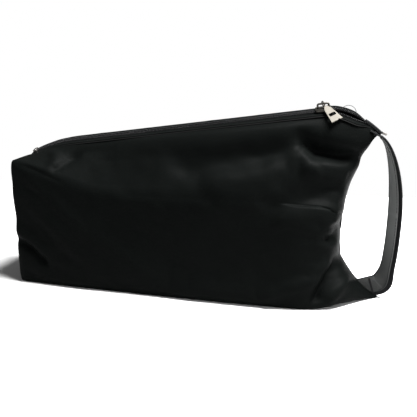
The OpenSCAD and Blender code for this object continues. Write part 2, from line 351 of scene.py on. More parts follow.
def metal_material(name, dark, light, rough):
    """Aged cast metal: clouded tone, brighter rubbed edges, fine pitting."""
    material, tree, shader, coords = start_material(name)
    wear = place_group(tree, WEAR, coords.outputs["Object"], Cloud_scale=220.0)
    color = blend_color(tree, wear.outputs["Cloud"], dark, light)
    color = blend_color(tree, add_math(tree, "MULTIPLY", wear.outputs["Edge"], 0.7), color,
                        tuple(min(1.0, 1.8 * c) for c in light))
    add_surface(tree, shader, color, wear.outputs["Cloud"], 0.25, rough - 0.12)
    shader.inputs["Metallic"].default_value = 1.0
    add_bump(tree, shader, wear.outputs["Speck"], 0.25, 0.1)
    return material


NYLON = cloth_material("black_nylon", (0.0011, 0.00135, 0.00128), (0.0024, 0.0028, 0.00265), 2.6, 2.6,
                       rough=0.42, specular=0.007, bump=0.3)
BINDING = cloth_material("binding_tape", (0.003, 0.003, 0.003), (0.006, 0.006, 0.006), 1.6, 0.8, solid=True)
TAPE = cloth_material("zip_tape_cloth", (0.0022, 0.0022, 0.0022), (0.0045, 0.0045, 0.0046), 1.6, 1.6,
                      specular=0.01, bump=0.5)
WEBBING = cloth_material("black_webbing", (0.006, 0.0062, 0.0065), (0.012, 0.0125, 0.013), 0.7, 0.9,
                         rough=0.6, bump=0.8, height_mm=0.3)
FACING = cloth_material("grey_facing", (0.083, 0.086, 0.085), (0.134, 0.139, 0.137), 0.7, 0.9,
                        rough=0.65, bump=0.8, height_mm=0.3, dust=(0.12, 0.12, 0.115))
# Painted shade: the grey facing is darkened toward the floor, below 66 mm.
paint_shade_near_floor(FACING, 14, 66, 0.22)
THREAD = cloth_material("black_thread", (0.004, 0.004, 0.0042), (0.009, 0.009, 0.0095), 2.0, 6.0, rough=0.45)
LOOP_THREAD = cloth_material("grey_thread", (0.05, 0.05, 0.051), (0.10, 0.10, 0.102), 2.0, 6.0, rough=0.5,
                             dust=(0.12, 0.12, 0.12))
COIL = cloth_material("nylon_coil", (0.003, 0.003, 0.0032), (0.006, 0.006, 0.0065), 4.0, 4.0, rough=0.35,
                      specular=0.10)
GUNMETAL = metal_material("gunmetal", (0.016, 0.0148, 0.0132), (0.044, 0.0415, 0.037), rough=0.45)
PEWTER = metal_material("puller_pewter", (0.024, 0.0225, 0.0196), (0.052, 0.0485, 0.0425), rough=0.50)
BRIGHT = metal_material("stop_metal", (0.10, 0.097, 0.09), (0.26, 0.25, 0.24), rough=0.38)
print("materials ready")

# %% [markdown]
# ## The zip's line
# The whole bag hangs from its zip, so the zip's line comes first. It climbs in a straight stretch from the
# base end, where the slider travels, drops at the base end, and falls off in a curve beyond the slider,
# where the last part is open. The same few numbers as in the design give the same line here.

# %% The zip's line as functions
BASE_X, BASE_H = 188.0, 128.0
HALF_BASE, HALF_FULL, SHOULDER_H = 40.0, 49.0, 100.0
SEAM_WAIST_X, SEAM_TOP_X, SEAM_TIP_X, SEAM_TOP_Z, WAIST_Z = 133.0, 163.0, 172.0, 156.0, 65.0
ZIP_Z, ZIP_RISE, ZIP_LEAN, SLIDER_X = 175.0, math.radians(7.1), math.radians(20), 112.0
TAPE_SHOW = 7.0
STRAIGHT_X0, BASE_DROP, MOUTH_X0, MOUTH_OPEN = -136.0, 9.0, 114.0, 5.0
NARROW_X0, UPRIGHT_X0 = 138.0, 140.0


def ridge_line(x):
    """The straight stretch's height: rises by the zip's slope through the slider."""
    return ZIP_Z + (x - SLIDER_X) * math.tan(ZIP_RISE)


def ridge(x):
    """Height of the zip's middle: the straight line, less a parabola at the base and a 1.6 power at the
    end."""
    x = np.asarray(x, float)
    base = BASE_DROP * np.clip((STRAIGHT_X0 - x) / (BASE_X + STRAIGHT_X0), 0, None) ** 2
    fall = ridge_line(SEAM_TOP_X) - SEAM_TOP_Z
    run = np.clip((x - SLIDER_X - 4) / (SEAM_TOP_X - SLIDER_X - 4), 0, None)
    return ridge_line(x) - base - fall * run ** 1.6


def mouth(x):
    """How far each half of the zip stands off the middle: a half sine over the open stretch."""
    f = np.clip((np.asarray(x, float) - MOUTH_X0) / (SEAM_TOP_X - MOUTH_X0), 0, 1)
    return MOUTH_OPEN * np.sin(math.pi * f) ** 0.7


def narrowing(x):
    """Share of its width that the zip keeps at x: it is drawn together toward the handle end."""
    return 1 - 0.75 * smooth((x - NARROW_X0) / (SEAM_TOP_X - NARROW_X0))


def leaning(x):
    """The zip's lean to the front at x, which goes upright at the handle end."""
    return ZIP_LEAN * (1 - smooth((x - UPRIGHT_X0) / (SEAM_TOP_X - UPRIGHT_X0)))


def zip_point(x, v, w):
    """A point v across the zip and w above its tape, leaning to the front. Minus v is the front."""
    x, v, w = np.broadcast_arrays(*(np.asarray(a, float) for a in (x, v, w)))
    lean = leaning(x)
    across = (v + np.sign(v) * mouth(x)) * narrowing(x)
    return np.stack([x, across * np.cos(lean) - w * np.sin(lean),
                     ridge(x) + across * np.sin(lean) + w * np.cos(lean)], -1)

print("zip height at base and slider:", float(ridge(-BASE_X)), float(ridge(SLIDER_X)))

# %% [markdown]
# ## The bag's skin
# The pouch is one sheet on each side, from the zip over a sloping roof, down a wall and under to the
# bottom seam. A surface of two parameters says this directly: s runs along the bag from the base end to the
# handle end's seam, and t runs round it from the zip to the bottom seam.

# %% Skin surface
STRAP_LOW, STRAP_HIGH, STRAP_BULGE = np.array([165.0, 0, 12]), np.array([163.0, 0, 153]), 180.3
STRAP_ROOM = 1.7
ROOF_T, WALL_T, CORNER_T, CLOSE_S = 0.30, 0.72, 0.035, 0.82


def seam_x(z):
    """X of the handle end's seam at a height: a waist between an upper corner and a lower tip."""
    up = (SEAM_TOP_X - SEAM_WAIST_X) * np.clip((z - WAIST_Z) / (SEAM_TOP_Z - WAIST_Z), 0, None) ** 2.2
    down = (SEAM_TIP_X - SEAM_WAIST_X) * np.clip((WAIST_Z - z) / WAIST_Z, 0, None) ** 2.6
    return SEAM_WAIST_X + up + down


def section(x, t, side):
    """Cross-section at x: a house-shaped line through zip lip, shoulder and floor corner, corners rounded."""
    lip = zip_point(x, side * TAPE_SHOW, 0.4)
    half = mix(HALF_BASE, HALF_FULL, np.sin(0.5 * math.pi * np.clip((x + BASE_X) / 260, 0, 1)))
    high = mix(BASE_H - 2, SHOULDER_H, smooth((x + BASE_X) / 90))
    a = np.stack([np.abs(lip[..., 1]), lip[..., 2]], -1)
    b = np.stack([half, high], -1)
    c = np.stack([half, 0 * half], -1)
    d = np.stack([0 * half + 0.15, 0 * half], -1)

    def raw(q):
        q = np.clip(q, 0, 1)[..., None]
        roof = mix(a, b, q / ROOF_T)
        wall = mix(b, c, (q - ROOF_T) / (WALL_T - ROOF_T))
        floor = mix(c, d, (q - WALL_T) / (1 - WALL_T))
        return np.where(q < ROOF_T, roof, np.where(q < WALL_T, wall, floor))

    reach = np.minimum(CORNER_T, np.minimum(t, 1 - t))
    shares = np.linspace(-1, 1, 9)
    return sum(raw(t + reach * k) for k in shares) / len(shares)


def skin(s, t, side):
    """A point of the skin: the section, closed in depth and drawn to the seam's height near the end."""
    z_end = SEAM_TOP_Z * (1 - t) ** 1.7
    x = mix(-BASE_X, seam_x(z_end), s)
    p = section(x, t, side)
    lip = 1 - smooth(t / 0.12)
    run = np.clip((s - CLOSE_S) / (1 - CLOSE_S), 0, 1)
    close = np.sqrt(np.clip(1 - run ** 2.6, 0, 1))
    power = np.where(t > ROOF_T, 5.0, 3.0)
    rise = np.clip((s - 0.7) / 0.3, 0, 1) ** power
    seam_room = 0.15 + STRAP_ROOM * np.exp(-((z_end - STRAP_LOW[2]) / 12) ** 2)
    depth = np.maximum(p[..., 0] * mix(close, 1, lip), seam_room * run ** 2 + 0.15 + 1.2 * (1 - t) * lip)
    z = mix(p[..., 1], z_end, rise * (1 - lip))
    return np.stack([x, side * depth, z], -1)


N_FACE, N_WALL, N_GIRTH = 26, 220, 140


def panel_grid(side):
    """The panel's grid: columns over half the flat base end first, then columns along the wall."""
    t = np.linspace(0, 1, N_GIRTH + 1)[None, :]
    s = np.linspace(0, 1, N_WALL + 1)[:, None] ** 0.9
    wall = skin(*np.broadcast_arrays(s, t), side)
    middle = np.stack([0 * t - BASE_X, 0 * t + side * 0.15, mix(BASE_H, 1, t)], -1)
    f = np.linspace(0, 1, N_FACE + 1)[:-1, None, None]
    return np.concatenate([mix(middle, wall[:1], f), wall])


def soften(grid, passes):
    """Averages each inner column with its neighbours along the bag, to round the base end's folds."""
    for _ in range(passes):
        grid[1:-1] = 0.25 * grid[:-2] + 0.5 * grid[1:-1] + 0.25 * grid[2:]
    return grid


def normals_of(grid, side):
    """Outward normals: the cross product of the grid's two directions."""
    du = np.gradient(grid, axis=0)
    dv = np.gradient(grid, axis=1)
    return unit(np.cross(du, dv)) * side

for s_end in (0.0, 1.0):
    print("skin at s =", s_end, "is", skin(np.array(s_end), np.array(0.5), -1).round(1))

# %% [markdown]
# ## Folds
# A bag that lies empty creases where it is pulled: at the corners of the box, below the open end of the zip
# and along the handle end's seam. Each fold here is a short chain of points on the side of the bag, with
# a width and a depth. A valley's cross-section is a bell curve pushed in, a ridge's is pushed out, and
# both fade along their last stretch.

# %% Fold functions
def chain_distance(x, z, chain):
    """Distance from each (x, z) to a chain of segments, and how far along it that is, from 0 to 1."""
    chain = np.asarray(chain, float)
    best = np.full(x.shape, 1e9)
    along = np.zeros(x.shape)
    lengths = np.linalg.norm(np.diff(chain, axis=0), axis=1)
    total, run = lengths.sum(), 0.0
    for (ax, az), (bx, bz), length in zip(chain[:-1], chain[1:], lengths):
        f = np.clip(((x - ax) * (bx - ax) + (z - az) * (bz - az)) / length ** 2, 0, 1)
        d = np.hypot(x - ax - f * (bx - ax), z - az - f * (bz - az))
        near = d < best
        best = np.where(near, d, best)
        along = np.where(near, (run + f * length) / total, along)
        run += length
    return best, along


def fold_depth(x, z, folds):
    """Sum of the folds at each (x, z), in millimetres: minus is pushed in."""
    total = np.zeros(x.shape)
    for chain, width, depth, head, tail in folds:
        d, along = chain_distance(x, z, chain)
        fade = mix(head, 1, smooth(along / 0.25)) * mix(tail, 1, smooth((1 - along) / 0.25))
        total += depth * fade * np.exp(-(d / width) ** 2)
    return total


def ripples(x, z, seed, count, shortest, longest, height):
    """Gentle waves: a seeded sum of sines in random directions."""
    rng = np.random.default_rng(seed)
    total = np.zeros(x.shape)
    for _ in range(count):
        angle, phase = rng.uniform(0, math.pi), rng.uniform(0, 2 * math.pi)
        wave = rng.uniform(shortest, longest)
        total += np.sin((x * math.cos(angle) + z * math.sin(angle)) * 2 * math.pi / wave + phase)
    return height * total / math.sqrt(count)


# Each fold: its chain of (x, z) points, half width, depth, and the share kept at its head and tail.
FRONT_FOLDS = [
    ([(-139, 119), (-132, 127), (-123, 137), (-107, 140), (-80, 142)], 6, -4.5, 0.3, 0),
    ([(-158, 142), (-148, 130), (-141, 117)], 6, 3, 0.5, 0),
    ([(-190, 47), (-169, 37), (-150, 20)], 4, -4, 1, 0),
    ([(-190, 56), (-170, 46), (-148, 32)], 6, 2, 1, 0),
    ([(-40, 124), (2, 126), (30, 132), (58, 138), (84, 148)], 12, -6, 0, 0.8),
    ([(0, 113), (34, 114), (64, 122), (84, 130)], 12, 3.5, 0, 0.4),
    ([(88, 172), (91, 161), (97, 151), (108, 144), (132, 139), (154, 137)], 7, -15, 0.6, 0.9),
    ([(82, 150), (92, 137), (112, 129), (148, 124)], 10, 2, 0.3, 0.8),
    ([(98, 170), (112, 163), (130, 156), (152, 150)], 7, 4, 0.2, 0.5),
    ([(85, 157), (89, 163), (95, 161)], 3.5, 3, 0.5, 0.5),
    ([(92, 131), (110, 124), (134, 121)], 7, 4, 0, 0.6),
    ([(56, 93), (87, 99), (113, 108), (136, 119)], 11, -4.2, 0, 0.6),
    ([(69, 82), (96, 83), (132, 90)], 10, 2.6, 0, 0.8),
    ([(108, 125), (134, 123)], 5, -2.0, 0, 1),
    ([(118, 60), (134, 74)], 5, -3.5, 0, 1),
    ([(112, 78), (134, 84)], 5, 2, 0, 1),
    ([(138, 48), (127, 33), (118, 17), (110, 2)], 6, -8, 0.8, 0.5),
    ([(62, 6), (84, 20), (108, 27), (118, 40)], 7, 3.5, 0.2, 0.3),
    ([(122, 6), (138, 22), (150, 24)], 7, 3, 0.4, 0.6),
]
BACK_FOLDS = [
    ([(-141, 118), (-130, 130), (-112, 139), (-84, 143)], 6, -4, 0.3, 0),
    ([(-160, 140), (-149, 128), (-142, 116)], 6, 2.5, 0.5, 0),
    ([(-190, 60), (-171, 45), (-152, 22)], 5, -3.5, 1, 0),
    ([(-40, 132), (-5, 126), (40, 130)], 11, -4, 0, 0),
    ([(95, 168), (102, 150), (118, 138), (150, 132)], 8, -9, 0.2, 0.7),
    ([(70, 128), (100, 118), (134, 116)], 10, 4, 0, 0.6),
    ([(58, 92), (92, 98), (136, 112)], 8, -5, 0, 0.6),
    ([(76, 70), (104, 66), (133, 72)], 9, 3, 0, 0.7),
    ([(106, 52), (134, 60)], 6, -4, 0, 1),
    ([(140, 46), (128, 30), (116, 12), (112, 2)], 6, -7, 0.8, 0.5),
    ([(-60, 8), (-20, 34), (10, 70)], 14, -2.5, 0, 0),
]


ROOF_CROWN, SEAM_GROOVE, CLOTH_T = 5.0, 0.8, 0.9
SIM_STEP, SIM_FRAMES, SIM_LIMIT = 3, 26, 5.0


def seam_pucker(s, t, side):
    """Short gathers that run back from the handle end's seam: two sines round the girth."""
    reach = np.exp(-((1 - s) / 0.075) ** 1.5)
    wave = np.sin(t * 2 * math.pi * 11 + 1.1 * np.sin(t * 17 + side))
    wave = wave + 0.6 * np.sin(t * 2 * math.pi * 19 + 2 * side)
    return 0.9 * reach * wave


def creased_panel(side):
    """The panel with its folds, ripples, gathers, roof crown and seam grooves pushed along the outward
    normal, each faded out where the panel is sewn, and then settled by the cloth run."""
    grid = soften(panel_grid(side), 3)
    normal = normals_of(grid, side)
    x, z = grid[..., 0], grid[..., 2]
    rows, cols = x.shape
    t = np.broadcast_to(np.linspace(0, 1, cols)[None, :], x.shape)
    k = np.arange(rows)[:, None]
    s = np.broadcast_to(np.clip((k - N_FACE) / N_WALL, 0, 1) ** 0.9, x.shape)
    on_wall = smooth((k - N_FACE + 4) / 10)
    off_zip = smooth((t - 0.03) / 0.10)
    off_floor = 1 - smooth((t - WALL_T + 0.03) / 0.05)
    off_seam = smooth((1 - s) / 0.035)
    off_base = smooth(np.abs(k - N_FACE) / 14)
    folds = fold_depth(x, z, FRONT_FOLDS if side < 0 else BACK_FOLDS)
    push = folds * mix(0.25, 1, off_seam) * on_wall
    push += ripples(x, z, 11 if side < 0 else 23, 7, 45, 140, 0.9) * off_seam * mix(0.4, 1, off_base)
    push += ripples(x, z, 5 if side < 0 else 7, 9, 16, 38, 0.22) * off_seam
    push += seam_pucker(s, t, side) * off_seam
    push *= off_zip * off_floor
    crown = np.sin(math.pi * np.clip(t / ROOF_T, 0, 1) ** 0.6) * smooth(t / 0.04)
    push += ROOF_CROWN * crown * smooth((1 - s) / 0.25) * smooth((x + 105) / 80)
    seam_gap = np.minimum((1 - t) * 200, np.where(k <= N_FACE, k * 1.6, 400))
    seam_gap = np.minimum(seam_gap, np.where(k > N_FACE, (1 - s) * 330, 400))
    push -= SEAM_GROOVE * np.exp(-(seam_gap / 1.8) ** 2) * (t > 0.02)
    grid = grid + normal * push[..., None]
    calm = (off_zip * off_floor * off_seam)[..., None]
    grid = grid + relax_cloth(grid, side) * calm
    grid[..., 2] = np.maximum(grid[..., 2], 0.02)
    grid[..., 1] = side * np.maximum(side * grid[..., 1], 0.12)
    return grid


def relax_cloth(grid, side):
    """How the roof and wall settle: a coarse copy, sewn along its edges and cut half a per cent too large, is
    run as cloth. The answer is its movement, capped and spread over the fine grid by bilinear weights."""
    floor_column = int(WALL_T * N_GIRTH) + 4
    coarse = grid[N_FACE::SIM_STEP, :floor_column:SIM_STEP]
    rows, cols = coarse.shape[:2]
    copy = make_mesh("cloth_run", coarse, grid_quads(rows, cols, flip=side > 0))
    r, c = np.divmod(np.arange(rows * cols), cols)
    sewn = (r == 0) | (r == rows - 1) | (c <= 1) | (c >= cols - 2)
    group = copy.vertex_groups.new(name="sewn")
    group.add(np.nonzero(sewn)[0].tolist(), 1.0, "REPLACE")
    modifier = copy.modifiers.new("cloth", "CLOTH")
    settings = modifier.settings
    settings.quality = 8
    settings.mass = 0.05
    settings.tension_stiffness = settings.compression_stiffness = 15
    settings.bending_stiffness = 0.1
    settings.vertex_group_mass = "sewn"
    settings.shrink_min = settings.shrink_max = -0.005
    settings.effector_weights.gravity = 0.12
    modifier.collision_settings.use_self_collision = False
    modifier.collision_settings.use_collision = False
    modifier.point_cache.frame_start, modifier.point_cache.frame_end = 1, SIM_FRAMES
    scene = bpy.context.scene
    for frame_number in range(1, SIM_FRAMES + 1):
        scene.frame_set(frame_number)
    settled = copy.evaluated_get(bpy.context.evaluated_depsgraph_get()).to_mesh()
    flat = np.empty(rows * cols * 3, np.float32)
    settled.vertices.foreach_get("co", flat)
    scene.frame_set(1)
    bpy.data.objects.remove(copy, do_unlink=True)
    move = flat.reshape(rows, cols, 3).astype(float) / MM - coarse
    size = np.linalg.norm(move, axis=-1, keepdims=True)
    print(f"cloth run moved up to {float(size.max()):.1f} mm, {float(size.mean()):.2f} mm on average")
    move *= SIM_LIMIT / (SIM_LIMIT + size)
    whole = np.zeros_like(grid)
    whole[N_FACE:, :floor_column] = spread(move, len(grid) - N_FACE, floor_column)
    return whole


def spread(coarse, rows, cols):
    """Bilinear weights: a coarse grid's values at every point of a fine grid of rows x cols."""
    r = np.minimum(np.arange(rows) / SIM_STEP, coarse.shape[0] - 1.001)[:, None]
    c = np.minimum(np.arange(cols) / SIM_STEP, coarse.shape[1] - 1.001)[None, :]
    i, j = r.astype(int), c.astype(int)
    f, g = (r - i)[..., None], (c - j)[..., None]
    return mix(mix(coarse[i, j], coarse[i + 1, j], f), mix(coarse[i, j + 1], coarse[i + 1, j + 1], f), g)


def arc_uv(grid):
    """Millimetres along the two directions of a grid, so that a weave keeps its size."""
    du = np.linalg.norm(np.diff(grid, axis=0, prepend=grid[:1]), axis=-1)
    dv = np.linalg.norm(np.diff(grid, axis=1, prepend=grid[:, :1]), axis=-1)
    return np.stack([np.cumsum(du, 0).mean(1, keepdims=True) + 0 * du,
                     np.cumsum(dv, 1).mean(0, keepdims=True) + 0 * dv], -1)


for side, name in ((-1, "front_panel"), (1, "back_panel")):
    grid = creased_panel(side)
    sheet = make_mesh(name + "_cloth", grid, grid_quads(*grid.shape[:2], flip=side > 0), arc_uv(grid))
    modifier = sheet.modifiers.new("thickness", "SOLIDIFY")
    modifier.thickness, modifier.offset, modifier.use_rim = CLOTH_T * MM, -1, True
    finish_piece(sheet, "bag", NYLON, [name])

# %% [markdown]
# ## Ribbons and tubes
# Tapes, webbing and wire are a small outline carried along a path. The path gives a centre and two cross
# directions at each station, and the outline says how far to go along each.

# %% Sweeping an outline along a path
def sweep(name, centres, across, up, outline, closed_path=False):
    """A closed tube: each station's ring is centre + outline[0] * across + outline[1] * up."""
    outline = np.asarray(outline, float)
    if outline.ndim == 2:
        outline = np.broadcast_to(outline, (len(centres), *outline.shape))
    rings = centres[:, None] + outline[..., :1] * across[:, None] + outline[..., 1:] * up[:, None]
    n, m = rings.shape[:2]
    length = np.concatenate([[0], np.cumsum(np.linalg.norm(np.diff(centres, axis=0), axis=1))])
    round_way = np.concatenate([[0], np.cumsum(np.linalg.norm(np.diff(outline[0], axis=0), axis=1))])
    uv = np.stack(np.broadcast_arrays(round_way[None, :], length[:, None]), -1)
    if closed_path:
        rings, uv = np.concatenate([rings, rings[:1]]), np.concatenate([uv, uv[-1:]])
    points, quads = rings.reshape(-1, 3), grid_quads(len(rings), m, wrap=True)
    uv = uv.reshape(-1, 2)
    if not closed_path:
        caps = np.array([rings[0].mean(0), rings[-1].mean(0)])
        base = len(points)
        j = np.arange(m)
        first = np.stack([j, (j + 1) % m, np.full(m, base), np.full(m, base)], -1)
        far = (n - 1) * m
        last = np.stack([far + (j + 1) % m, far + j, np.full(m, base + 1), np.full(m, base + 1)], -1)
        points = np.concatenate([points, caps])
        uv = np.concatenate([uv, uv[[0, -1]]])
        piece = make_mesh(name, points, quads, uv)
        return add_triangles(piece, np.concatenate([first, last])[:, :3])
    return make_mesh(name, points, quads, uv)


def add_triangles(piece, triangles):
    """Adds cap triangles to a mesh through bmesh, merging nothing."""
    work = bmesh.new()
    work.from_mesh(piece.data)
    work.verts.ensure_lookup_table()
    layer = work.loops.layers.uv.active
    for a, b, c in triangles:
        face = work.faces.new([work.verts[int(i)] for i in (a, b, c)])
        face.smooth = False
        for edge in face.edges:
            edge.smooth = len(edge.link_faces) != 2 or not any(link.smooth for link in edge.link_faces)
        if layer:
            for loop in face.loops:
                loop[layer].uv = (0.1 * loop.vert.index, 0)
    bmesh.ops.recalc_face_normals(work, faces=work.faces)
    work.to_mesh(piece.data)
    work.free()
    return piece


def rounded_box(width, height, radius, steps=4):
    """Outline of a rectangle with round corners, anticlockwise."""
    angles = np.linspace(0, 0.5 * math.pi, steps)
    corners = []
    for q, (cx, cy) in enumerate([(1, 1), (-1, 1), (-1, -1), (1, -1)]):
        a = angles + q * 0.5 * math.pi
        corners.append(np.stack([cx * (width / 2 - radius) + radius * np.cos(a),
                                 cy * (height / 2 - radius) + radius * np.sin(a)], -1))
    return np.concatenate(corners)


def round_outline(radius, sides):
    """Outline of a round wire."""
    ring = np.linspace(0, 2 * math.pi, sides + 1)[:-1]
    return radius * np.stack([np.cos(ring), np.sin(ring)], -1)

print("outline points:", len(rounded_box(4, 2, 0.5)), "for a ribbon,", len(round_outline(1, 6)), "for a wire")

# %% [markdown]
# ## Tapes
# The tapes carry the coils. They follow the zip's line at a fixed distance from its middle, and narrow with
# it at the handle end, so one function makes every band that runs beside the zip.

# %% Zip tapes
def zip_frame(x, v):
    """Centre, across and up directions of the zip at stations x, for a line v across it."""
    centre = zip_point(x, v, 0.0)
    across = unit(zip_point(x, v + np.sign(v) * 0.01, 0.0) - centre) * np.sign(v)
    up = unit(zip_point(x, v, 0.01) - centre)
    return centre, across, up


TAPE_X = np.linspace(-BASE_X + 3, SEAM_TOP_X - 3, 200)
TAPE_IN, TAPE_OUT = 1.0, 11.0


def zip_band(name, side, inner, outer, box, lift=0.0):
    """A band along the zip between two distances from its middle, lift above its tape. box is the band's
    thickness, its corner radius and its steps per corner."""
    centre, across, up = zip_frame(TAPE_X, side * (inner + outer) / 2)
    keep = np.stack([narrowing(TAPE_X), 1 + 0 * TAPE_X], -1)[:, None]
    lift = np.broadcast_to(lift, TAPE_X.shape)[:, None]
    return sweep(name, centre + up * lift, across, up, rounded_box(outer - inner, *box)[None] * keep)


for side, name in ((-1, "zip_tape_front"), (1, "zip_tape_back")):
    tape = zip_band(name + "_cloth", side, TAPE_IN, TAPE_OUT, (0.55, 0.25, 4))
    finish_piece(tape, "bag", TAPE, [name])

# %% [markdown]
# ## Thread
# Topstitching shows as a row of short, slightly swollen lengths of thread. One bead is worked out and then
# repeated at every stitch by adding arrays, which keeps a row of hundreds of stitches in one mesh.

# %% Beads of thread
def beads(name, centres, along, up, length, radius):
    """Short six-sided beads of thread at the centres, each pinched at its ends."""
    across = np.cross(along, up)
    stations = np.array([-0.5, -0.3, 0.0, 0.3, 0.5])
    girth = radius * np.array([0.25, 0.85, 1.0, 0.85, 0.25])
    ring = np.linspace(0, 2 * math.pi, 7)[:-1]
    path = centres[:, None, None] + along[:, None, None] * (stations * length)[None, :, None, None]
    round_way = (across[:, None, None] * np.cos(ring)[None, None, :, None]
                 + up[:, None, None] * np.sin(ring)[None, None, :, None])
    points = path + round_way * girth[None, :, None, None]
    one = grid_quads(len(stations), len(ring), wrap=True)
    caps = np.array([[0, 1, 2, 3], [0, 3, 4, 5], [27, 26, 25, 24], [29, 28, 27, 24]])
    one = np.concatenate([one, caps])
    count = len(stations) * len(ring)
    quads = (one[None] + (np.arange(len(centres)) * count)[:, None, None]).reshape(-1, 4)
    uv = np.stack(np.broadcast_arrays(ring * radius, (stations * length)[:, None]), -1)
    return make_mesh(name, points, quads, np.broadcast_to(uv, (len(centres), *uv.shape)))

print("the beads are swept in five rings of six points")

# %% [markdown]
# ## Folded lips
# Each panel is turned over and stitched down beside the coil, so only a thin line of tape is left to see. The
# fold is a flat roll of the panel's own nylon, with a row of topstitching along it.

# %% Lips
LIP_IN, LIP_OUT, LIP_LIFT, LIP_T = 3.5, 9.2, 0.45, 1.1
TOPSTITCH, TOPSTITCH_PITCH, THREAD_R = 2.3, 3.0, 0.2
for side, name in ((-1, "front"), (1, "back")):
    wobble = 0.12 * np.sin(TAPE_X / 9.0 + side) + 0.08 * np.sin(TAPE_X / 3.7)
    lip = zip_band(name + "_panel_lip", side, LIP_IN, LIP_OUT, (LIP_T, 0.5, 5), LIP_LIFT + wobble)
    finish_piece(lip, "bag", NYLON)
    stitch_x = np.arange(-BASE_X + 8, SEAM_TOP_X - 22, TOPSTITCH_PITCH)
    centre, across, up = zip_frame(stitch_x, side * (LIP_OUT - 1.3))
    along = unit(np.gradient(centre, axis=0))
    row = beads(name + "_topstitching", centre + up * 1.0, along, up, TOPSTITCH, THREAD_R)
    finish_piece(row, "bag", THREAD)

# %% [markdown]
# ## The coil
# A nylon zip's teeth are one continuous coil on each tape. A flattened helix is exactly that: the angle
# turns once for each tooth while the centre moves one pitch along the zip.

# %% Zip coils
PITCH, TURN_STEPS, COIL_WIRE_R = 1.5, 10, 0.34
for side, name in ((-1, "zip_coil_front"), (1, "zip_coil_back")):
    start, stop = TAPE_X[0] + 6, TAPE_X[-1] - 3
    turns = int((stop - start) / PITCH)
    a = np.linspace(0, turns, turns * TURN_STEPS + 1)
    turn = 2 * math.pi * (a + (0.5 if side > 0 else 0))
    v = side * (1.85 - 1.15 * np.cos(turn))
    w = 1.25 + 0.85 * np.sin(turn)
    path = zip_point(start + a * PITCH, v, w)
    along = unit(np.gradient(path, axis=0))
    across = unit(np.cross(along, np.array([0.3, 0.2, 1.0])))
    up = np.cross(across, along)
    coil = sweep(name + "_helix", path, across, up, round_outline(COIL_WIRE_R, 5))
    finish_piece(coil, "bag", COIL, [name])

# %% [markdown]
# ## The strap
# The strap is two webbings sewn face to face, black outside and grey inside. It leaves the lower corner
# flat against the bag's plane, turns a quarter as it rises, and lies across the zip's end at the top.

# %% Strap path
STRAP_W, OUTER_T, FACING_T = 20.0, 1.5, 1.2
TAIL_LOW, TAIL_HIGH, BEND_REACH = 6.0, 13.0, 24.0
FACING_W, FACING_SHIFT, FACING_TAIL_HIGH = 15.0, 1.6, 0.5
SEAM_SLANT, STRAP_END, PLY_GAP = 14.0, 84.0, 0.02


def strap_mid(a):
    """Middle line at angle a in degrees: an arch whose X follows a power of the cosine."""
    a = np.radians(np.clip(a, -90, 90))
    zm, zr = (STRAP_LOW[2] + STRAP_HIGH[2]) / 2, (STRAP_HIGH[2] - STRAP_LOW[2]) / 2
    foot = np.where(a < 0, STRAP_LOW[0], STRAP_HIGH[0])
    power = np.where(a < 0, 0.55, 1.15)
    x = mix(foot, STRAP_BULGE, np.clip(np.cos(a), 0, 1) ** power)
    return np.stack([x, 0 * x, zm + zr * np.sin(a)], -1)


def strap_frame(a):
    """Centre, width direction and face normal at angle a: a quarter turn from the bag's plane to across the
    zip. The face normal points at the bag's side."""
    along = unit(strap_mid(a + 2) - strap_mid(a - 2))
    level = np.stack([-along[:, 2], 0 * a, along[:, 0]], -1)
    twist = np.radians(61 * smooth((a + 92) / 50) + 29 * smooth(a / 84))[:, None]
    side = np.array([0, 1.0, 0])
    across = level * np.cos(twist) + side * np.sin(twist)
    return strap_mid(a), across, level * np.sin(twist) - side * np.cos(twist)


def bend_at_seam(piece):
    """Bakes a strap piece's placement into its mesh."""
    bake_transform(piece)
    print(f"{piece.name}: {len(piece.data.vertices)} points, bends at its seam")


def slant_end(piece, start, run, across, reach):
    """Cuts a tail's end to the slope of its seam: points past start move on by their height in the width."""
    points = np.empty(len(piece.data.vertices) * 3, np.float32)
    piece.data.vertices.foreach_get("co", points)
    points = points.reshape(-1, 3) / MM
    along = (points - start) @ run
    height = np.clip((points - start) @ across / (STRAP_W / 2) + 0.4, 0, 1.4)
    points += (SEAM_SLANT * height * smooth(along / reach))[:, None] * run
    piece.data.vertices.foreach_set("co", (points * MM).ravel())
    piece.data.update()


def strap_half(name, upper, low, high, width, shift, tail_length, material, replaced):
    """Half of one webbing, from the middle of the arch to the end of its sewn tail. The tail runs straight on
    from the arch's end."""
    sign = 1 if upper else -1
    a = sign * np.linspace(0, STRAP_END, 90)
    centre, across, face = strap_frame(a)
    run = unit(centre[-1] - centre[-2])
    tail = np.linspace(0, tail_length, 8)[1:, None]
    centre = np.concatenate([centre, centre[-1] + tail * run])
    across, face = (np.concatenate([v, np.repeat(v[-1:], len(tail), 0)]) for v in (across, face))
    centre = centre + face * (low + high) / 2 + across * shift
    outline = rounded_box(width, high - low, min(0.5, 0.4 * (high - low)))
    if not upper:
        outline = outline[::-1]
    outline = np.repeat(outline[None], len(centre), 0)
    piece = sweep(name, centre, across, face, outline)
    if not upper:
        slant_end(piece, centre[len(a) - 1], run, across[-1], tail_length)
    piece.data.materials.append(material)
    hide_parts(*replaced)
    bend_at_seam(piece)


for upper, part in ((False, "lower"), (True, "upper")):
    strap_half("strap_outer_" + part, upper, -OUTER_T, -PLY_GAP, STRAP_W, 0.0,
               TAIL_HIGH if upper else TAIL_LOW, WEBBING, ["strap_outer", "strap_tail_" + part])
    strap_half("strap_facing_" + part, upper, PLY_GAP, FACING_T, FACING_W, FACING_SHIFT,
               FACING_TAIL_HIGH if upper else TAIL_LOW, FACING, ["strap_facing"])

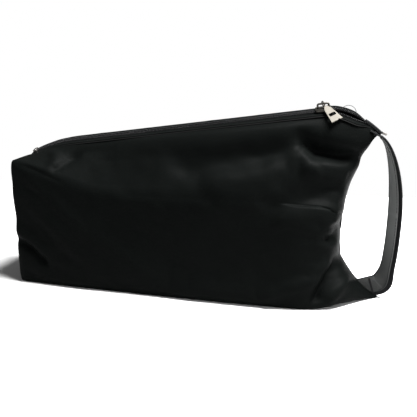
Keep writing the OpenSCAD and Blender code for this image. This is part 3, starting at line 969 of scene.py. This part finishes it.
# %% [markdown]
# ## Stitching on the strap
# Two rows of stitches hold the webbings together, and a bar tack, a dense zigzag, locks each end in its seam.
# A stitch is a short bead of thread, so one bead is made and repeated along the path as one mesh.

# %% Strap stitches
STITCH, STITCH_R, STITCH_ROWS = 2.6, 0.22, (-5.0, 8.2)
for upper, part in ((False, "lower"), (True, "upper")):
    sign = 1 if upper else -1
    a = sign * np.linspace(3, 82, 34)
    centre, across, face = strap_frame(a)
    along = unit(np.gradient(centre, axis=0))
    rows_of = [centre + across * edge + face * level for edge in STITCH_ROWS
               for level in (-OUTER_T - 0.05, FACING_T + 0.05)]
    row = beads("strap_stitches_" + part, np.concatenate(rows_of), np.tile(along, (4, 1)),
                np.tile(face, (4, 1)), STITCH, STITCH_R)
    row.data.materials.append(THREAD)
    bend_at_seam(row)


def bar_tack(name, sign, reach, node):
    """A zigzag of thread right round the tail, as one closed helix of flat turns."""
    centre, across, face = (v[0] for v in strap_frame(np.array([sign * STRAP_END])))
    run = unit(centre - strap_mid(np.array([sign * (STRAP_END - 2)]))[0])
    turns, steps = 9, 16
    a = np.linspace(0, turns, turns * steps + 1)
    half_w, half_t = 0.5 * STRAP_W - 1.5, 0.5 * (OUTER_T + FACING_T) + 0.1
    u = half_w * np.clip(1.6 * np.cos(2 * math.pi * a), -1, 1)
    w = half_t * np.clip(3.0 * np.sin(2 * math.pi * a), -1, 1)
    path = (centre + face * (FACING_T - OUTER_T) / 2 + across * u[:, None] + face * w[:, None]
            + run * (reach + 1.6 * a / turns)[:, None])
    along = unit(np.gradient(path, axis=0))
    side = unit(np.cross(along, run))
    piece = sweep(name, path, side, np.cross(side, along), round_outline(0.24, 6))
    return finish_piece(piece, "bag", THREAD, [node])


bar_tack("bar_tack_thread_lower", -1, 4.4, "bar_tack_lower")
bar_tack("bar_tack_thread_upper", 1, 7.0, "bar_tack_upper")

# %% [markdown]
# ## Slider, puller and stops
# Cast zip parts are plates with rounded edges. A flat outline with its holes, thickened and bevelled, makes
# each plate, and a bent wire makes the bridge. They are built in the zip's own directions and then turned
# to where the frame has the slider and the puller.

# %% Plates and blocks
def plate(name, loops, thickness, bevel, origin, axes):
    """A bevelled plate from an outline and its holes (loops of 2-D points), in a frame of three axes."""
    curve = bpy.data.curves.new(name + "_outline", "CURVE")
    curve.dimensions = "2D"
    curve.fill_mode = "BOTH"
    curve.extrude = (thickness / 2 - bevel) * MM
    curve.bevel_depth = bevel * MM
    curve.bevel_resolution = 2
    curve.offset = -bevel * MM
    for loop in loops:
        spline = curve.splines.new("POLY")
        spline.points.add(len(loop) - 1)
        flat = np.concatenate([np.asarray(loop) * MM, np.zeros((len(loop), 1)), np.ones((len(loop), 1))], 1)
        spline.points.foreach_set("co", flat.ravel())
        spline.use_cyclic_u = True
    holder = link_new(name + "_holder", curve)
    mesh = bpy.data.meshes.new_from_object(holder.evaluated_get(bpy.context.evaluated_depsgraph_get()))
    bpy.data.objects.remove(holder, do_unlink=True)
    flat = np.empty(len(mesh.vertices) * 3, np.float32)
    mesh.vertices.foreach_get("co", flat)
    turned = flat.reshape(-1, 3) @ np.asarray(axes) + np.asarray(origin) * MM
    mesh.vertices.foreach_set("co", turned.ravel())
    return weld(link_new(name, mesh))


def weld(piece, distance=0.004):
    """Closes the seams between a curve's caps and its walls, and turns every face outward."""
    work = bmesh.new()
    work.from_mesh(piece.data)
    bmesh.ops.remove_doubles(work, verts=work.verts, dist=distance * MM)
    bmesh.ops.recalc_face_normals(work, faces=work.faces)
    work.to_mesh(piece.data)
    work.free()
    return piece


def rounded_loop(corners, radius, steps=5):
    """A loop with its corners cut to arcs: each corner becomes a quadratic curve between its two sides."""
    corners = np.asarray(corners, float)
    before, after = np.roll(corners, 1, 0), np.roll(corners, -1, 0)
    start = corners + unit(before - corners) * radius
    end = corners + unit(after - corners) * radius
    f = np.linspace(0, 1, steps)[None, :, None]
    curve = (1 - f) ** 2 * start[:, None] + 2 * f * (1 - f) * corners[:, None] + f ** 2 * end[:, None]
    return curve.reshape(-1, 2)


def join(name, pieces):
    """One object from several meshes."""
    work = bmesh.new()
    for piece in pieces:
        work.from_mesh(piece.data)
        bpy.data.objects.remove(piece, do_unlink=True)
    mesh = bpy.data.meshes.new(name)
    work.to_mesh(mesh)
    work.free()
    return link_new(name, mesh)


def wire(name, path, radius, sides=14):
    """A round wire along a path."""
    path = np.asarray(path, float)
    along = unit(np.gradient(path, axis=0))
    guide = np.cross(along[0], along[len(along) // 2])
    guide = guide if np.linalg.norm(guide) > 1e-3 else np.array([0.31, 0.2, 0.93])
    side = unit(np.cross(along, np.broadcast_to(unit(guide), along.shape)))
    return sweep(name, path, side, np.cross(side, along), round_outline(radius, sides))


def zip_axes(x, slope):
    """Origin and axes on the zip's middle: along it, across it and off its tape."""
    lean = float(leaning(x))
    along = np.array([math.cos(slope), 0, math.sin(slope)])
    across = np.array([-math.sin(slope) * math.sin(lean), math.cos(lean), math.cos(slope) * math.sin(lean)])
    return np.array([x, 0, float(ridge(x))]), np.stack([along, across, np.cross(along, across)])


def nose_down(angle):
    """Axes turned about the Y axis, with their front end down."""
    return np.array([[math.cos(angle), 0, -math.sin(angle)], [0, 1, 0],
                     [math.sin(angle), 0, math.cos(angle)]])

print("zip axes at the slider:", zip_axes(SLIDER_X, ZIP_RISE)[1].round(2).tolist())

# %% Slider
SLIDER_L, SLIDER_W, PLATE_T, TOP_W, BRIDGE_H, BRIDGE_L, BRIDGE_R = 15.0, 10.0, 1.3, 2.9, 8.2, 10.0, 0.9
origin, axes = zip_axes(SLIDER_X, ZIP_RISE)


def at_slider(points):
    """Slider coordinates (along, across, off the tape) to millimetres in the frame."""
    return np.asarray(points, float) @ axes + origin


half_l, half_w = SLIDER_L / 2, SLIDER_W / 2
heart = rounded_loop([(-half_l, -half_w + 1.6), (-half_l + 5, -half_w + 0.6), (half_l - 3, -half_w),
                      (half_l, -half_w + 1.4), (half_l - 1.6, 0), (half_l, half_w - 1.4),
                      (half_l - 3, half_w), (-half_l + 5, half_w - 0.6), (-half_l, half_w - 1.6)], 1.0)
slider_parts = [
    plate("slider_top", [heart], PLATE_T, 0.35, at_slider([0, 0, TOP_W + PLATE_T / 2]), axes),
    plate("slider_under", [heart], PLATE_T, 0.35, at_slider([0, 0, -1 - PLATE_T / 2]), axes),
    plate("slider_wedge", [rounded_loop([(4.0, -0.3), (7.0, -0.3), (7.0, 0.3), (4.0, 0.3)], 0.15)],
          TOP_W + 1.6, 0.1, at_slider([0, 0, 0.9]), axes)]
for flank in (-1, 1):
    rail = rounded_loop([(-half_l + 1.2, -0.45), (half_l - 4, -0.45), (half_l - 4, 0.45),
                         (-half_l + 1.2, 0.45)], 0.3)
    slider_parts.append(plate("slider_flange", [rail], 1.6, 0.2,
                              at_slider([0, flank * (half_w - 0.95), TOP_W - 0.35]), axes))
arch = np.linspace(0, math.pi, 15)[1:-1]
legs, bend, reach = TOP_W + PLATE_T - 0.3, 1.6, BRIDGE_L / 2
rise, fall = bend * np.sin(arch / 2), bend * np.cos(arch / 2)
bridge_path = np.concatenate([
    [[-reach, 0, legs], [-reach, 0, BRIDGE_H - bend]],
    np.stack([-reach + bend - fall, 0 * arch, BRIDGE_H - bend + rise], -1),
    np.stack([reach - bend + rise, 0 * arch, BRIDGE_H - bend + fall], -1),
    [[reach, 0, BRIDGE_H - bend], [reach, 0, legs]]])
slider_parts.append(wire("slider_bridge", at_slider(bridge_path), BRIDGE_R))
finish_piece(join("slider_casting", slider_parts), "slider", GUNMETAL, ["slider_body"])

# %% [markdown]
# ## The puller
# The puller hangs from the bridge by a wire eye and lies to the front of the roof. Its three axes start from
# the direction it hangs in, so its outline can be drawn flat, with a notched end and a slot.

# %% Puller
PULL_L, PULL_T, NECK_T, EYE_R, EYE_WIRE, EYE_STEPS = 24.0, 1.3, 0.9, 2.3, 0.55, 48
pull_dir = unit(np.array([0.55, -0.59, -0.59]))
pull_across = unit(np.array([1.0, 0, 0]) - pull_dir * pull_dir[0])
pull_axes = np.stack([pull_dir, pull_across, np.cross(pull_dir, pull_across)])
pull_origin = at_slider([0, 0, BRIDGE_H])
blade = rounded_loop([(4.3, -1.6), (8, -3.6), (PULL_L, -5.6), (PULL_L, 0.9), (PULL_L - 1.1, 2.0),
                      (PULL_L, 3.1), (PULL_L, 5.6), (8, 3.6), (4.3, 1.6)], 0.6, 4)
slot_hole = rounded_loop([(14, -3), (17.2, -3), (17.2, 3), (14, 3)], 0.8)
ring = np.linspace(0, 2 * math.pi, EYE_STEPS + 1)[:-1]
eye_centre = pull_origin + 0.3 * pull_dir
eye = np.stack([EYE_R * np.cos(ring), 0 * ring, EYE_R * np.sin(ring)], -1) @ pull_axes + eye_centre
puller_parts = [
    plate("puller_blade", [blade, slot_hole], PULL_T, 0.3, pull_origin, pull_axes),
    sweep("puller_eye", eye, unit(eye - eye_centre), np.broadcast_to(pull_across, eye.shape),
          round_outline(EYE_WIRE, 12), closed_path=True),
    plate("puller_neck", [rounded_loop([(2.3, -0.6), (6.4, -1.1), (6.4, 1.1), (2.3, 0.6)], 0.2)],
          NECK_T, 0.15, pull_origin, pull_axes)]
finish_piece(join("puller_casting", puller_parts), "puller", PEWTER, ["puller"])

# %% [markdown]
# ## Ends of the zip
# A zip keeps its slider by a stop at each end. The base end's stop is a bar across the tapes, and the handle
# end's is a bright crimp that peeps out over the seam.

# %% Stops
BASE_STOP_X, STOP_TILT = -BASE_X + 6, math.radians(22)


def crimp(name, corners, radius, thickness, bevel, place, axes, lift, node):
    """A stop: a bevelled block at a place, lifted along its third axis."""
    block = plate(name + "_bar", [rounded_loop(corners, radius)], thickness, bevel,
                  place + np.array([0, 0, lift]) @ axes, axes)
    finish_piece(join(name, [block]), "bag", BRIGHT, [node])


crimp("base_stop_crimp", [(-2, -3.2), (2, -3.2), (2, 3.2), (-2, 3.2)], 0.6, 2.6, 0.4,
      *zip_axes(BASE_STOP_X, STOP_TILT), 1.8, "base_stop")
crimp("end_stop_crimp", [(0, -2), (5, -1.6), (5, 1.6), (0, 2)], 0.7, 2.2, 0.45,
      np.array([SEAM_TOP_X + 0.5, 0, SEAM_TOP_Z + 0.3]), nose_down(STOP_TILT), 1.2, "end_stop")

# %% [markdown]
# ## End tab and thread loop
# A short tab of webbing covers the zip's end where the strap is sewn in, so it is a ribbon swept along a low
# arch. The loop beyond the puller is three thin plies of thread twisted round a half circle: each ply's
# offset from the arc turns as it goes.

# %% End tab and thread loop
TAB_L, TAB_STEPS, TAB_SECTION = 14.0, 20, (12.5, 3.6, 1.3, 5)
f = np.linspace(0, 1, TAB_STEPS)
tab_z = mix(float(ridge(SEAM_TOP_X - TAB_L)) + 3.3, SEAM_TOP_Z + 1.7, f) - 1.2 + 0.8 * np.sin(math.pi * f)
tab_path = np.stack([SEAM_TOP_X - TAB_L + TAB_L * f, 0 * f, tab_z], -1)
tab_along = unit(np.gradient(tab_path, axis=0))
tab_side = np.broadcast_to(np.array([0, 1.0, 0]), tab_path.shape)
droop = rounded_box(*TAB_SECTION)[None] * (1 + 0.04 * np.sin(9 * f))[:, None, None]
tab = sweep("end_tab_webbing", tab_path, tab_side, np.cross(tab_along, tab_side), droop)
finish_piece(tab, "bag", WEBBING, ["end_tab"])

LOOP_R, LOOP_X, LOOP_Y, PLY_R, PLY_TWIST, PLIES = 7.2, 134, 10, 0.12, 26, 3
arc = np.linspace(0, math.pi, 90)
loop_arc = np.stack([LOOP_R * np.cos(arc), 0 * arc, LOOP_R * np.sin(arc)], -1) @ nose_down(math.radians(10))
loop_path = loop_arc + np.array([LOOP_X, LOOP_Y, float(ridge(LOOP_X)) + 1.4])
strands = []
for k in range(PLIES):
    phase = (arc * PLY_TWIST + k * 2 * math.pi / PLIES)[:, None]
    offset = PLY_R * (np.cos(phase) * unit(loop_arc) + np.sin(phase) * np.array([0, 1.0, 0]))
    strands.append(wire(f"loop_ply_{k}", loop_path + offset, 0.19, 8))
finish_piece(join("thread_loop_plies", strands), "bag", LOOP_THREAD, ["thread_loop"])

# %% [markdown]
# ## Bindings
# Five seam bindings lie inside the bag, where their plain shapes are enough. They stay as the frame has
# them and only get the binding tape's finish.

# %% Carried-over nodes get their finish
BINDINGS = ("handle_end_binding", "bottom_seam_binding", "base_seam_binding", "box_binding_upper",
            "box_binding_lower")
for name in BINDINGS:
    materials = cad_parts[name].data.materials
    materials.clear()
    materials.append(BINDING)
print("finished nodes:", len(BINDINGS))

# %% [markdown]
# ## Floor and light
# A pale floor and broad soft lights, as in a small studio. The key light hangs high, so that the roof of
# the bag is lit and its walls fall into shade. The floor ends just behind the bag. Beyond it the camera sees
# a white world, which lights the bag much less than its own white would: the strength depends on the ray.

# %% Stage
AMBIENT = 0.19
FLOOR_HALF, FLOOR_BACK, FLOOR_Z = 1500, 500, -0.05
floor = make_mesh("floor", [(-FLOOR_HALF, -FLOOR_HALF, FLOOR_Z), (FLOOR_HALF, -FLOOR_HALF, FLOOR_Z),
                            (FLOOR_HALF, FLOOR_BACK, FLOOR_Z), (-FLOOR_HALF, FLOOR_BACK, FLOOR_Z)],
                  [[0, 1, 2, 3]], smooth=False)
floor_material, floor_tree, floor_shader, floor_coords = start_material("pale_floor")
cloud = add_noise(floor_tree, floor_coords.outputs["Object"], 3.0)
floor_tree.links.new(blend_color(floor_tree, cloud, (0.56, 0.56, 0.56), (0.60, 0.60, 0.60)),
                     floor_shader.inputs["Base Color"])
floor_shader.inputs["Roughness"].default_value = 0.8
floor_shader.inputs["Specular IOR Level"].default_value = 0.1
floor.data.materials.append(floor_material)

world = bpy.data.worlds.new("studio")
world.use_nodes = True
backdrop = world.node_tree.nodes["Background"]
backdrop.inputs["Color"].default_value = (1.0, 1.0, 1.0, 1.0)
seen = world.node_tree.nodes.new("ShaderNodeLightPath")
strength = add_math(world.node_tree, "MULTIPLY_ADD", seen.outputs["Is Camera Ray"], 1 - AMBIENT, AMBIENT)
world.node_tree.links.new(strength, backdrop.inputs["Strength"])
bpy.context.scene.world = world


LIGHT_AIM = Vector((0.05, 0, 0.08))


def area_light(name, place, size, power):
    """A square soft light at a place, turned to the bag."""
    data = bpy.data.lights.new(name, "AREA")
    data.size, data.energy = size, power
    light = link_new(name, data)
    light.location = place
    light.rotation_euler = (LIGHT_AIM - Vector(place)).to_track_quat("-Z", "Y").to_euler()


area_light("key_above", (0.42, -0.06, 1.2), 0.5, 92)
area_light("fill_right", (1.4, -0.75, 0.6), 0.5, 14)
print("stage ready")
